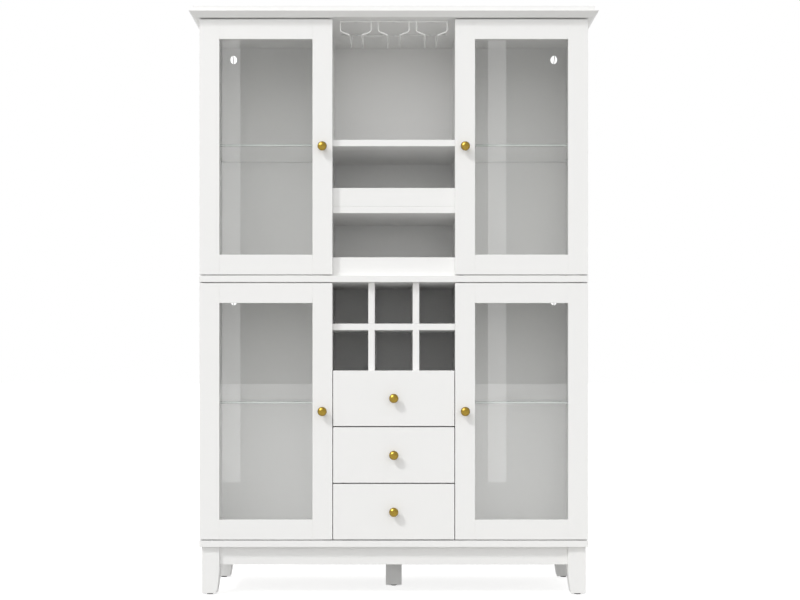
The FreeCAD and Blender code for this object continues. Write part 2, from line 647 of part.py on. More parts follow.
def bent_wire(x_sign, centre):
    """One wire: down from the ceiling, in to the lip of the slot, back along it and up again."""
    half, slot = value("channel_width / 2"), value("slot_width / 2")
    top, drop, knee = value("ceiling_z - wire_radius"), value("rack_drop"), value("rack_knee")
    near = value("carcass_front + rack_front")
    far = near + value("rack_length")
    spots = [(half, near, top), (half, near, top - knee), (slot, near, top - drop),
             (slot, far, top - drop), (slot, far, top)]
    spots = [FreeCAD.Vector(centre + x_sign * x, y, z) for x, y, z in spots]
    bend = value("rack_bend")
    edges, start = [], spots[0]
    for before, spot, after in zip(spots, spots[1:], spots[2:]):
        back = (before - spot).normalize()
        on = (after - spot).normalize()
        first, last = spot + back * bend, spot + on * bend
        half_turn = back.getAngle(on) / 2
        radius = bend * math.tan(half_turn)
        heart = spot + (back + on).normalize() * (bend / math.cos(half_turn))
        middle = heart + (spot - heart).normalize() * radius
        edges += [Part.LineSegment(start, first).toShape(), Part.Arc(first, middle, last).toShape()]
        start = last
    edges.append(Part.LineSegment(start, spots[-1]).toShape())
    return Part.Wire(edges).makePipeShell([wire_end(spots[0], FreeCAD.Vector(0, 0, 1))], True, False)


def rack():
    """The whole welded rack as one solid."""
    pitch, tab = value("channel_pitch"), value("tab_width")
    wires = [bent_wire(sign, number * pitch) for number in (-1, 0, 1) for sign in (-1, 1)]
    top, near = value("ceiling_z - wire_radius"), value("carcass_front + rack_front")
    reach = pitch + value("channel_width / 2 + wire_radius")
    for y in (near, near + value("rack_length")):
        end = wire_end(FreeCAD.Vector(-reach, y, top), FreeCAD.Vector(1, 0, 0))
        wires.append(Part.Face(end).extrude(FreeCAD.Vector(2 * reach, 0, 0)))
        for number in (-1, 0, 1):
            corner = FreeCAD.Vector(number * pitch - tab / 2, y - tab / 2, value("ceiling_z - tab_thick"))
            wires.append(Part.makeBox(tab, tab, value("tab_thick"), corner))
    return wires[0].fuse(wires[1:]).removeSplitter()


stemware = doc.addObject("Part::Feature", "GlassRack")
stemware.Shape = rack()
node(stemware, "glass_rack")

doc.recompute()
for item in doc.Objects:
    if any(word in item.State for word in ("Invalid", "Error")):
        raise RuntimeError("not built: " + item.Label)
for item in nodes:
    if item.Shape.isNull() or not item.Shape.isValid() or not item.Shape.Solids:
        raise RuntimeError("no valid solid: " + item.Label)
os.makedirs("parts", exist_ok=True)
for item in nodes:
    item.Shape.exportStep(os.path.join("parts", item.Label + ".step"))
print(len(nodes), "nodes,", sum(len(item.Shape.Solids) for item in nodes), "solids")
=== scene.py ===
import json
import math

import bmesh
import bpy
from mathutils import Matrix, Vector


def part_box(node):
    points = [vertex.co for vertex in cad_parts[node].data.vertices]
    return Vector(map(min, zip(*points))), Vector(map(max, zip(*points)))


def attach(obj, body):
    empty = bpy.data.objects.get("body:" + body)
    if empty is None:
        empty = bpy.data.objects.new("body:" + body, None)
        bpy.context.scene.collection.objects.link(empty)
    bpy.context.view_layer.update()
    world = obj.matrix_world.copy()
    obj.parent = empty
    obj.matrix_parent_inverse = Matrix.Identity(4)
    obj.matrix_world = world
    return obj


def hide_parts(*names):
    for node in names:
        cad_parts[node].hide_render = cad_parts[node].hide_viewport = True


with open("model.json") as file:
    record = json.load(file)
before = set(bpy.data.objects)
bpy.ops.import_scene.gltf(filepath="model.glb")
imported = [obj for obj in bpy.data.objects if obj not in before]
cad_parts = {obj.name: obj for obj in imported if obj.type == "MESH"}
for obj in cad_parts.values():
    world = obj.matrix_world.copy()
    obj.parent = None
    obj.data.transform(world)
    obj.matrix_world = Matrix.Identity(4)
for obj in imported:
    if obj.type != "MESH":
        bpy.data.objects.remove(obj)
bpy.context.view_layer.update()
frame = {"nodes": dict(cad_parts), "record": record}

# The view: a level camera a little over four metres in front, as high as the floor of the bottle cubbies.
# Its picture is shifted up and to the side as the photograph's is, so upright edges stay upright.
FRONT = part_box("bottom_board")[0].y
CAMERA_AWAY, CAMERA_HEIGHT = 4.110, 0.6256
LENS_MM, SENSOR_MM = 66.8, 36
PICTURE_WIDTH = 800
SHIFT_X_PIXELS, SHIFT_Y_PIXELS = 6.25, 69.6
QUARTER_TURN = math.radians(90)

camera = bpy.data.objects.new("eye", bpy.data.cameras.new("eye"))
camera.data.lens = LENS_MM
camera.data.sensor_width = SENSOR_MM
camera.data.shift_x = SHIFT_X_PIXELS / PICTURE_WIDTH
camera.data.shift_y = SHIFT_Y_PIXELS / PICTURE_WIDTH
camera.location = (0, FRONT - CAMERA_AWAY, CAMERA_HEIGHT)
camera.rotation_euler = (QUARTER_TURN, 0, 0)
bpy.context.scene.collection.objects.link(camera)
bpy.context.scene.camera = camera
bpy.context.scene.view_settings.view_transform = "Standard"


# Painted boards: medium-density board sprayed with a satin white lacquer, its arrises eased with
# sandpaper. The film has a fine peel over a longer wave, and is a trace warmer and duller where it is thick.
class Wire:
    """One output in a finish's nodes. Sums of wires and numbers add Math nodes."""

    def __init__(self, tree, socket=None):
        self.tree, self.socket = tree, socket

    def node(self, kind, settings=(), inputs=(), output=0):
        """Adds a node: its settings first, then the values or wires of its sockets."""
        made = self.tree.nodes.new(kind)
        for name, setting in dict(settings).items():
            setattr(made, name, setting)
        for name, value in dict(inputs).items():
            if isinstance(value, Wire):
                self.tree.links.new(value.socket, made.inputs[name])
            else:
                made.inputs[name].default_value = value
        return Wire(self.tree, made.outputs[output] if made.outputs else None)

    def maths(self, operation, first, second):
        return self.node("ShaderNodeMath", {"operation": operation}, {0: first, 1: second})

    def __add__(self, other):
        return self.maths("ADD", self, other)

    def __radd__(self, other):
        return self.maths("ADD", other, self)

    def __rsub__(self, other):
        return self.maths("SUBTRACT", other, self)

    def __mul__(self, other):
        return self.maths("MULTIPLY", self, other)

    def __rmul__(self, other):
        return self.maths("MULTIPLY", other, self)

    def __pow__(self, other):
        return self.maths("POWER", self, other)


def finish(name):
    """A new empty finish and the wire that its nodes start from."""
    material = bpy.data.materials.new(name)
    material.use_nodes = True
    material.node_tree.nodes.clear()
    return material, Wire(material.node_tree)


def noise(start, lumps, detail, place=None):
    """A cloud of so many lumps per metre, from 0 to 1."""
    place = place or start.node("ShaderNodeTexCoord", output="Object")
    return start.node("ShaderNodeTexNoise", {}, {"Vector": place, "Scale": lumps, "Detail": detail})


MIX_FROM, MIX_TO, MIX_COLOUR = 6, 7, 2


def blend(start, share, first, second):
    """A colour between two colours, through the colour sockets of a Mix node."""
    return start.node("ShaderNodeMix", {"data_type": "RGBA"}, {0: share, MIX_FROM: first, MIX_TO: second},
                      MIX_COLOUR)


def relief(start, height, depth, under=None):
    """A bump of a real depth in metres over another."""
    inputs = {"Strength": 1.0, "Distance": depth, "Height": height}
    if under:
        inputs["Normal"] = under
    return start.node("ShaderNodeBump", {}, inputs)


def shown(start, surface):
    """Ends a finish in its surface shader."""
    start.node("ShaderNodeOutputMaterial", {}, {"Surface": surface})


def skin(start, sockets):
    """Ends a finish in a Principled surface with these sockets."""
    shown(start, start.node("ShaderNodeBsdfPrincipled", {}, sockets))


LACQUER_THIN, LACQUER_THICK = (0.903, 0.904, 0.899, 1), (0.918, 0.915, 0.901, 1)
LACQUER_ROUGHNESS, FILM_ROUGHENS, PEEL_ROUGHENS = 0.345, 0.10, 0.05
LACQUER_GLOSS = 0.45
FILM_LUMPS = 2.3
PEEL_LUMPS, PEEL_DEPTH = 330, 0.000025
WAVE_LUMPS, WAVE_DEPTH = 26, 0.00012

lacquer, start = finish("satin_white_lacquer")
film = noise(start, FILM_LUMPS, detail=3)
peel = noise(start, PEEL_LUMPS, detail=2)
wave = noise(start, WAVE_LUMPS, detail=2)
skin(start, {
    "Base Color": blend(start, film, LACQUER_THIN, LACQUER_THICK),
    "Roughness": LACQUER_ROUGHNESS + FILM_ROUGHENS * film + PEEL_ROUGHENS * peel,
    "Specular IOR Level": LACQUER_GLOSS,
    "Normal": relief(start, peel, PEEL_DEPTH, relief(start, wave, WAVE_DEPTH))})

MERGE = 0.00001
FLAT_WITHIN, SHARP_FROM = math.radians(0.5), math.radians(30)
BOARD_EASED, EASED_SEGMENTS = 0.0008, 2


def body_of(node):
    """The body that a node rides on."""
    return next(body for body, members in frame["record"]["behaviour"]["bodies"].items() if node in members)


def piece(name, shape, material, body, eased=0.0, standing_for=()):
    """Makes a finished piece of a bmesh: its mesh, finish, eased edges and the body it rides on."""
    mesh = bpy.data.meshes.new(name)
    shape.to_mesh(mesh)
    shape.free()
    mesh.materials.append(material)
    for face in mesh.polygons:
        face.use_smooth = True
    mesh.set_sharp_from_angle(angle=SHARP_FROM)
    made = bpy.data.objects.new(name, mesh)
    bpy.context.scene.collection.objects.link(made)
    if eased:
        edge = made.modifiers.new("eased", "BEVEL")
        edge.width, edge.segments = eased, EASED_SEGMENTS
        edge.limit_method, edge.angle_limit = "ANGLE", SHARP_FROM
        edge.harden_normals = True
    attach(made, body)
    if standing_for:
        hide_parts(*standing_for)
    return made


def copied(node):
    """A node's own shape with its loose triangles merged into whole faces."""
    shape = bmesh.new()
    shape.from_mesh(frame["nodes"][node].data)
    bmesh.ops.remove_doubles(shape, verts=shape.verts, dist=MERGE)
    bmesh.ops.dissolve_limit(shape, angle_limit=FLAT_WITHIN, verts=shape.verts, edges=shape.edges)
    return shape


def painted(node, eased=BOARD_EASED):
    """The board, lacquered and with its edges eased."""
    return piece("painted_" + node, copied(node), lacquer, body_of(node), eased, [node])


# Legs and aprons: the legs are cut from the same board glued up thick, with their inner faces tapered.
# The aprons are screwed between them, and the middle leg holds up the long bottom board.
LEG_EASED = 0.0015
painted("corner_legs", LEG_EASED)
painted("centre_leg", LEG_EASED)
painted("aprons")

# Glides: dark moulded pads nailed under each leg, so that the cabinet can be pushed over a floor. The
# floor has scuffed them dull.
GLIDE_CLEAN, GLIDE_SCUFFED = (0.006, 0.006, 0.006, 1), (0.02, 0.019, 0.018, 1)
GLIDE_ROUGHNESS, SCUFF_ROUGHENS = 0.55, 0.3
GLIDE_GLOSS = 0.2
SCUFF_LUMPS, SCUFF_DEPTH = 160, 0.0001
GLIDE_EASED = 0.0006

pad, start = finish("dark_glide")
scuff = noise(start, SCUFF_LUMPS, detail=4)
skin(start, {
    "Base Color": blend(start, scuff, GLIDE_CLEAN, GLIDE_SCUFFED),
    "Roughness": GLIDE_ROUGHNESS + SCUFF_ROUGHENS * scuff,
    "Specular IOR Level": GLIDE_GLOSS,
    "Normal": relief(start, scuff, SCUFF_DEPTH)})
piece("moulded_glides", copied("glides"), pad, "cabinet", GLIDE_EASED, ["glides"])

# Carcass: two tiers of sides and partitions between full-width boards, dowelled and screwed.
# Every board is lacquered on all faces before it is put together.
for node in ("bottom_board", "mid_board", "lower_side_left", "lower_side_right", "lower_partitions",
             "upper_side_left", "upper_side_right", "upper_partitions", "ceiling_panel"):
    painted(node)

# Crown: a square-edged top board over moulding strips that slope outwards. The strips are glued to the
# ceiling panel and meet in mitres at the front corners.
CROWN_EASED = 0.0005
for node in ("top_board", "crown_front", "crown_sides"):
    painted(node, CROWN_EASED)

# Niche and cubbies: two shelves and two low retaining rails above, and below them a floor with one
# shelf and two uprights that are halved into each other to make six bottle cubbies.
for node in ("niche_shelves", "niche_rails", "cubby_floor", "cubby_shelf", "cubby_uprights"):
    painted(node)

# Back panels: thin hardboard let in behind the sides, painted white and pinned all round with zinc-plated
# pins. Each has an oval cable hole near its two top corners.
ZINC_DULL, ZINC_BRIGHT = (0.58, 0.59, 0.60, 1), (0.72, 0.72, 0.71, 1)
ZINC_ROUGHNESS, RUB_ROUGHENS = 0.28, 0.16
RUB_STRETCH = (1, 1, 12)
RUB_LUMPS, RUB_DEPTH = 90, 0.00002
BLOOM_LUMPS = 14

zinc, start = finish("zinc_plate")
along = start.node("ShaderNodeMapping", {}, {
    "Vector": start.node("ShaderNodeTexCoord", output="Object"), "Scale": RUB_STRETCH})
rub = noise(start, RUB_LUMPS, detail=3, place=along)
bloom = noise(start, BLOOM_LUMPS, detail=3)
skin(start, {
    "Base Color": blend(start, bloom, ZINC_DULL, ZINC_BRIGHT),
    "Metallic": 1.0,
    "Roughness": ZINC_ROUGHNESS + RUB_ROUGHENS * rub,
    "Normal": relief(start, rub, RUB_DEPTH)})

PANEL_EASED = 0.0003
PIN_RADIUS, PIN_RISE, PIN_SIDES = 0.0018, 0.0006, 10
PIN_PITCH, PIN_EDGE = 0.09, 0.009
HEAD_TOP_SHARE = 0.72
SOCKET_LIP_SHARE, SOCKET_DEEP_SHARE = 0.1, 0.7


def button(shape, spot, facing, radius, rise, socket=0.0, sides=PIN_SIDES):
    """Adds a low round head at a spot, facing a direction, with a sunk socket if asked."""
    before = set(shape.verts)
    top_radius = radius * HEAD_TOP_SHARE
    made = bmesh.ops.create_cone(
        shape, cap_ends=True, segments=sides, radius1=radius, radius2=top_radius, depth=rise,
        matrix=Matrix.Translation((0, 0, rise / 2)))
    if socket:
        top = max({face for vert in made["verts"] for face in vert.link_faces},
                  key=lambda face: face.calc_center_median().z)
        bmesh.ops.inset_region(shape, faces=[top], thickness=top_radius - socket)
        bmesh.ops.inset_region(shape, faces=[top], thickness=socket * SOCKET_LIP_SHARE,
                               depth=-rise * SOCKET_DEEP_SHARE)
    turn = Vector((0, 0, 1)).rotation_difference(Vector(facing)).to_matrix().to_4x4()
    bmesh.ops.transform(shape, matrix=Matrix.Translation(spot) @ turn,
                        verts=[vert for vert in shape.verts if vert not in before])


def spread(first, last, pitch):
    """Places from first to last at about the pitch, both ends included."""
    count = max(1, round((last - first) / pitch))
    return [first + (last - first) * step / count for step in range(count + 1)]


for tier in ("lower", "upper"):
    node = tier + "_back_panel"
    painted(node, PANEL_EASED)
    low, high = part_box(node)
    columns = spread(low.x + PIN_EDGE, high.x - PIN_EDGE, PIN_PITCH)
    rows = spread(low.z + PIN_EDGE, high.z - PIN_EDGE, PIN_PITCH)
    places = [(x, z) for x in columns for z in (rows[0], rows[-1])]
    places += [(x, z) for x in (columns[0], columns[-1]) for z in rows[1:-1]]
    back_pins = bmesh.new()
    for x, z in places:
        button(back_pins, (x, high.y, z), (0, 1, 0), PIN_RADIUS, PIN_RISE)
    piece(tier + "_back_pins", back_pins, zinc, "cabinet")

# Stemware rack: six bent wires, welded to two cross bars and powder-coated white. Lugs under the bars
# take the screws that hold it to the ceiling of the niche.
COAT_LOW, COAT_HIGH = (0.93, 0.93, 0.92, 1), (0.96, 0.96, 0.95, 1)
COAT_ROUGHNESS, GRIT_ROUGHENS = 0.22, 0.1
COAT_GLOSS = 0.8
GRIT_LUMPS, GRIT_DEPTH = 900, 0.00002

coat, start = finish("white_powder_coat")
grit = noise(start, GRIT_LUMPS, detail=2)
skin(start, {
    "Base Color": blend(start, grit, COAT_LOW, COAT_HIGH),
    "Roughness": COAT_ROUGHNESS + GRIT_ROUGHENS * grit,
    "Specular IOR Level": COAT_GLOSS,
    "Normal": relief(start, grit, GRIT_DEPTH)})

WIRE_RADIUS, WIRE_ROUNDS, BEND_STEPS = 0.002, 3, 6
CHANNEL_PITCH, CHANNEL_HALF, SLOT_HALF = 0.106, 0.043, 0.017
RACK_DROP, RACK_KNEE, RACK_BEND = 0.038, 0.028, 0.005
BEND_SHARE, STRAIGHT_SHARE = 0.55, 0.1
LUG_WIDTH, LUG_THICK = 0.014, 0.002
LUG_EASED = LUG_THICK / 4
LUG_SCREW_IN = 0.00468
rack_low, rack_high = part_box("glass_rack")
bar_z = rack_high.z - WIRE_RADIUS
near_y, far_y = rack_low.y + LUG_WIDTH / 2, rack_high.y - LUG_WIDTH / 2


def bent(curve, corners):
    """Adds one wire to a curve: straight runs through the corners, each corner bent round."""
    spots = [(corners[0], corners[0], corners[0].lerp(corners[1], STRAIGHT_SHARE))]
    for before, corner, after in zip(corners, corners[1:], corners[2:]):
        for beside in (before, after):
            spot = corner + (beside - corner).normalized() * RACK_BEND
            lean = spot.lerp(corner, BEND_SHARE)
            away = spot.lerp(beside, STRAIGHT_SHARE)
            spots.append((away, spot, lean) if beside is before else (lean, spot, away))
    spots.append((corners[-1].lerp(corners[-2], STRAIGHT_SHARE), corners[-1], corners[-1]))
    run = curve.splines.new("BEZIER")
    run.bezier_points.add(len(spots) - 1)
    for knot, (left, spot, right) in zip(run.bezier_points, spots):
        knot.handle_left_type = knot.handle_right_type = "FREE"
        knot.co, knot.handle_left, knot.handle_right = spot, left, right


def slab(shape, middle, sizes):
    """Adds a block of the three sizes about its middle."""
    bmesh.ops.create_cube(shape, size=1,
                          matrix=Matrix.Translation(middle) @ Matrix.Diagonal((*sizes, 1)))


wires = bpy.data.curves.new("rack_wires", "CURVE")
wires.dimensions = "3D"
wires.bevel_depth, wires.bevel_resolution, wires.use_fill_caps = WIRE_RADIUS, WIRE_ROUNDS, True
wires.resolution_u = BEND_STEPS
wires.materials.append(coat)
for number in (-1, 0, 1):
    for side in (-1, 1):
        outer = number * CHANNEL_PITCH + side * CHANNEL_HALF
        inner = number * CHANNEL_PITCH + side * SLOT_HALF
        bent(wires, [Vector(spot) for spot in (
            (outer, near_y, bar_z), (outer, near_y, bar_z - RACK_KNEE), (inner, near_y, bar_z - RACK_DROP),
            (inner, far_y, bar_z - RACK_DROP), (inner, far_y, bar_z))])
for y in (near_y, far_y):
    bent(wires, [Vector((rack_low.x, y, bar_z)), Vector((rack_high.x, y, bar_z))])
rack_wires = bpy.data.objects.new("rack_wires", wires)
bpy.context.scene.collection.objects.link(rack_wires)
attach(rack_wires, "cabinet")
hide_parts("glass_rack")

SMALL_SCREW_RADIUS, SCREW_RISE, SCREW_SOCKET, SCREW_SIDES = 0.00288, 0.0016, 0.0014, 18
lugs, rack_screws = bmesh.new(), bmesh.new()
for number in (-1, 0, 1):
    for y in (near_y, far_y):
        middle = Vector((number * CHANNEL_PITCH, y, rack_high.z - LUG_THICK / 2))
        slab(lugs, middle, (LUG_WIDTH, LUG_WIDTH, LUG_THICK))
        screw_y = LUG_SCREW_IN if y == near_y else -LUG_SCREW_IN
        button(rack_screws, middle + Vector((0, screw_y, -LUG_THICK / 2)), (0, 0, -1),
               SMALL_SCREW_RADIUS, SCREW_RISE, SCREW_SOCKET, SCREW_SIDES)
piece("rack_lugs", lugs, coat, "cabinet", LUG_EASED)
piece("rack_screws", rack_screws, zinc, "cabinet")

# Glass: float glass, 4 mm in the doors and 6 mm in the shelves. It is clear, with the green of its iron
# only a trace, and lamps and daylight pass straight through it.
GLASS_TINT = (0.985, 0.987, 0.985, 1)
GLASS_IOR = 1.5
SHEET_EASED = 0.0008


def ray(start, kind):
    """Whether the ray that meets the finish is of this kind."""
    return start.node("ShaderNodeLightPath", output="Is %s Ray" % kind)


glass, start = finish("clear_float_glass")
through = start.maths("MAXIMUM", ray(start, "Shadow"), ray(start, "Diffuse"))
solid = start.node("ShaderNodeBsdfPrincipled", {}, {
    "Base Color": GLASS_TINT, "Roughness": 0.0, "IOR": GLASS_IOR, "Transmission Weight": 1.0})
clear = start.node("ShaderNodeBsdfTransparent", {}, {"Color": GLASS_TINT})
shown(start, start.node("ShaderNodeMixShader", {}, {0: through, 1: solid, 2: clear}))
piece("glass_shelf_sheets", copied("glass_shelves"), glass, "cabinet", SHEET_EASED,
      ["glass_shelves"])

# Ground edges: the front and rear edges of the glass shelves are ground straight and left silky, which
# makes them pale. The grinding is shown as a film as thin as paper.
GROUND_LOW, GROUND_HIGH = (0.56, 0.60, 0.58, 1), (0.64, 0.67, 0.65, 1)
GROUND_ROUGHNESS, FROST_ROUGHENS = 0.4, 0.2
FROST_LUMPS, FROST_DEPTH = 700, 0.00002

ground_glass, start = finish("ground_glass_edge")
frost = noise(start, FROST_LUMPS, detail=2)
skin(start, {
    "Base Color": blend(start, frost, GROUND_LOW, GROUND_HIGH),
    "Roughness": GROUND_ROUGHNESS + FROST_ROUGHENS * frost,
    "Normal": relief(start, frost, FROST_DEPTH)})

GROUND_FILM = 0.0002
ALONG_Y = 0.9


def reach(spots):
    """The low and high corners of the box round some spots."""
    return [Vector([end(spot[axis] for spot in spots) for axis in range(3)]) for end in (min, max)]


ground_edges = bmesh.new()
sheets = copied("glass_shelves")
for face in sheets.faces:
    if abs(face.normal.y) > ALONG_Y:
        low, high = reach([vert.co for vert in face.verts])
        slab(ground_edges, (low + high) / 2 + face.normal * GROUND_FILM / 2,
             (high.x - low.x - 2 * SHEET_EASED, GROUND_FILM, high.z - low.z - 2 * SHEET_EASED))
sheets.free()
piece("ground_shelf_edges", ground_edges, ground_glass, "cabinet")

# Shelf pins: turned steel pegs with a thin collar, pushed into drilled holes, four under each glass shelf.
# The collar stops each peg at the wall.
PEG_SIDES, PEG_EASED = 16, 0.0003
COLLAR_RADIUS, COLLAR_THICK = 0.00252, 0.0014


def loose_parts(shape):
    """The vertex places of each loose part of a shape."""
    parts, seen = [], set()
    for vert in shape.verts:
        if vert in seen:
            continue
        part, rest = [], [vert]
        seen.add(vert)
        while rest:
            here = rest.pop()
            part.append(here.co.copy())
            for edge in here.link_edges:
                other = edge.other_vert(here)
                if other not in seen:
                    seen.add(other)
                    rest.append(other)
        parts.append(part)
    return parts


def peg(shape, middle, radius, length):
    """Adds a round bar that lies along X."""
    bmesh.ops.create_cone(
        shape, cap_ends=True, segments=PEG_SIDES, radius1=radius, radius2=radius, depth=length,
        matrix=Matrix.Translation(middle) @ Matrix.Rotation(QUARTER_TURN, 4, "Y"))


cad_pins = copied("shelf_pins")
cupboard_middle = (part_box("upper_partitions")[1].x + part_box("upper_side_right")[0].x) / 2
pegs = bmesh.new()
for part in loose_parts(cad_pins):
    low, high = reach(part)
    middle = (low + high) / 2
    peg(pegs, middle, (high.z - low.z) / 2, high.x - low.x)
    on_partition = abs(middle.x) < cupboard_middle
    points_right = on_partition == (middle.x > 0)
    collar_x = low.x + COLLAR_THICK / 2 if points_right else high.x - COLLAR_THICK / 2
    peg(pegs, Vector((collar_x, middle.y, middle.z)), COLLAR_RADIUS, COLLAR_THICK)
cad_pins.free()
piece("shelf_pegs", pegs, zinc, "cabinet", PEG_EASED, ["shelf_pins"])

# Doors: full-height stiles with the rails butted between them, glued, filled and lacquered, so that only
# a hairline shows at each joint. The frame is rebated from behind for its pane, and a bead holds the pane.
DOORS = ["%s_door_%s" % (tier, side) for tier in ("lower", "upper") for side in ("left", "right")]
STILE = 0.055
JOINT_EASED = 0.0005
PANE_EASED = 0.0004
BEAD_DEEP, BEAD_WIDE = 0.0042, 0.0066
BEAD_EASED = BEAD_DEEP / 4
BEAD_DARK, BEAD_LIGHT = (0.80, 0.80, 0.79, 1), (0.85, 0.85, 0.84, 1)
BEAD_ROUGHNESS, RIPPLE_ROUGHENS = 0.5, 0.1
RIPPLE_LUMPS, RIPPLE_DEPTH = 40, 0.0002

glazing, start = finish("white_glazing_bead")
ripple = noise(start, RIPPLE_LUMPS, detail=2)
skin(start, {
    "Base Color": blend(start, ripple, BEAD_DARK, BEAD_LIGHT),
    "Roughness": BEAD_ROUGHNESS + RIPPLE_ROUGHENS * ripple,
    "Normal": relief(start, ripple, RIPPLE_DEPTH)})


def sawn(node, planes):
    """A closed part of a node's shape, kept on the side that each plane's normal points away from."""
    shape = copied(node)
    for spot, normal in planes:
        bmesh.ops.bisect_plane(shape, geom=shape.verts[:] + shape.edges[:] + shape.faces[:], dist=MERGE,
                               plane_co=spot, plane_no=normal, clear_outer=True)
        ends = [face for face in shape.faces
                if all(abs((vert.co - spot).dot(normal)) < MERGE for vert in face.verts)]
        bmesh.ops.delete(shape, geom=ends, context="FACES_ONLY")
        loose = [vert for vert in shape.verts if not vert.link_faces]
        bmesh.ops.delete(shape, geom=loose, context="VERTS")
        bmesh.ops.holes_fill(shape, edges=[edge for edge in shape.edges if edge.is_boundary])
    return shape


def glazing_bead(low, high):
    """A closed frame behind a pane that reaches from low to high."""
    bead = bmesh.new()
    bmesh.ops.create_grid(bead, x_segments=1, y_segments=1, size=0.5)
    bmesh.ops.scale(bead, vec=(high.x - low.x, high.z - low.z, 1), verts=bead.verts)
    bmesh.ops.inset_individual(bead, faces=bead.faces[:], thickness=BEAD_WIDE, use_even_offset=True)
    inner = min(bead.faces, key=lambda face: face.calc_center_median().length)
    bmesh.ops.delete(bead, geom=[inner], context="FACES_ONLY")
    bmesh.ops.solidify(bead, geom=bead.faces[:], thickness=BEAD_DEEP)
    bmesh.ops.rotate(bead, cent=(0, 0, 0), matrix=Matrix.Rotation(QUARTER_TURN, 3, "X"), verts=bead.verts)
    middle = (low + high) / 2
    seat = Vector((middle.x, high.y - min(vert.co.y for vert in bead.verts), middle.z))
    bmesh.ops.translate(bead, vec=seat, verts=bead.verts)
    bmesh.ops.recalc_face_normals(bead, faces=bead.faces)
    return bead


RIGHT, LEFT = Vector((1, 0, 0)), Vector((-1, 0, 0))
UP, DOWN = Vector((0, 0, 1)), Vector((0, 0, -1))
for door in DOORS:
    low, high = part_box(door + "_frame")
    middle = (low + high) / 2
    left, right = Vector((low.x + STILE, 0, 0)), Vector((high.x - STILE, 0, 0))
    cuts = {
        "stile_left": [(left, RIGHT)], "stile_right": [(right, LEFT)],
        "rail_top": [(left, LEFT), (right, RIGHT), (middle, DOWN)],
        "rail_bottom": [(left, LEFT), (right, RIGHT), (middle, UP)]}
    for part, planes in cuts.items():
        piece("%s_%s" % (door, part), sawn(door + "_frame", planes), lacquer, door,
              JOINT_EASED, [door + "_frame"])
    piece(door + "_pane", copied(door + "_glass"), glass, door, PANE_EASED,
          [door + "_glass"])
    piece(door + "_bead", glazing_bead(*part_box(door + "_glass")), glazing, door, BEAD_EASED)

# Hinges: pressed and zinc-plated cup hinges. The cup is let into the stile and its flange is screwed on,
# and the arm is clipped to a plate that two screws hold to the side.
CUP_RADIUS, CUP_EASED = 0.0175, 0.0004
ARM_EASED = 0.0009
FLANGE_INNER, FLANGE_HALF, FLANGE_THICK, FLANGE_SIDES = 0.01575, 0.026, 0.001, 48
FLANGE_NARROWS = 6
FLANGE_SCREW_IN, FLANGE_SCREW_RISE, FLANGE_SCREW_SOCKET = 0.0045, 0.00112, 0.00112
PLATE_THICK, PLATE_SCREW_UP, PLATE_SCREW_IN = 0.003, 0.012, 0.018
PLATE_SCREW_RADIUS = 0.0036


def cup_flange(shape, spot):
    """Adds a thin ring with two pointed ears, above and below the cup's middle, and its two screws."""
    before = set(shape.verts)
    bmesh.ops.create_circle(shape, cap_ends=False, segments=FLANGE_SIDES, radius=FLANGE_INNER)
    grown = bmesh.ops.extrude_edge_only(shape, edges=[
        edge for edge in shape.edges if edge.verts[0] not in before])
    ring_radius = CUP_RADIUS + FLANGE_THICK
    for vert in (item for item in grown["geom"] if isinstance(item, bmesh.types.BMVert)):
        turn = math.atan2(vert.co.y, vert.co.x)
        ear = (FLANGE_HALF - ring_radius) * abs(math.sin(turn)) ** FLANGE_NARROWS
        vert.co = (math.cos(turn) * ring_radius, math.sin(turn) * (ring_radius + ear), 0)
    shape.normal_update()
    bmesh.ops.solidify(shape, geom=[face for face in shape.faces if face.verts[0] not in before],
                       thickness=FLANGE_THICK)
    flange = [vert for vert in shape.verts if vert not in before]
    bmesh.ops.rotate(shape, cent=(0, 0, 0), matrix=Matrix.Rotation(QUARTER_TURN, 3, "X"), verts=flange)
    seat = spot - Vector((0, min(vert.co.y for vert in flange), 0))
    bmesh.ops.translate(shape, vec=seat, verts=flange)
    for up in (-1, 1):
        button(shape, spot + Vector((0, FLANGE_THICK, up * (FLANGE_HALF - FLANGE_SCREW_IN))), (0, 1, 0),
               SMALL_SCREW_RADIUS, FLANGE_SCREW_RISE, FLANGE_SCREW_SOCKET, SCREW_SIDES)


arms_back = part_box("hinge_arms")[1].y
piece("plated_hinge_arms", copied("hinge_arms"), zinc, "cabinet", ARM_EASED, ["hinge_arms"])
plate_screws = bmesh.new()
for door in DOORS:
    piece(door + "_cups", copied(door + "_hinge_cups"), zinc, door, CUP_EASED,
          [door + "_hinge_cups"])
    low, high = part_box(door + "_hinge_cups")
    side_low, side_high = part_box(door.replace("door", "side"))
    inwards, wall = (-1, side_low.x) if door.endswith("right") else (1, side_high.x)
    flanges = bmesh.new()
    for z in (low.z + CUP_RADIUS, high.z - CUP_RADIUS):
        cup_flange(flanges, Vector(((low.x + high.x) / 2, high.y, z)))
        for up in (-1, 1):
            spot = (wall + inwards * PLATE_THICK, arms_back - PLATE_SCREW_IN, z + up * PLATE_SCREW_UP)
            button(plate_screws, spot, (inwards, 0, 0), PLATE_SCREW_RADIUS, SCREW_RISE, SCREW_SOCKET,
                   SCREW_SIDES)
    bmesh.ops.recalc_face_normals(flanges, faces=flanges.faces)
    piece(door + "_cup_flanges", flanges, zinc, door)
piece("hinge_plate_screws", plate_screws, zinc, "cabinet")

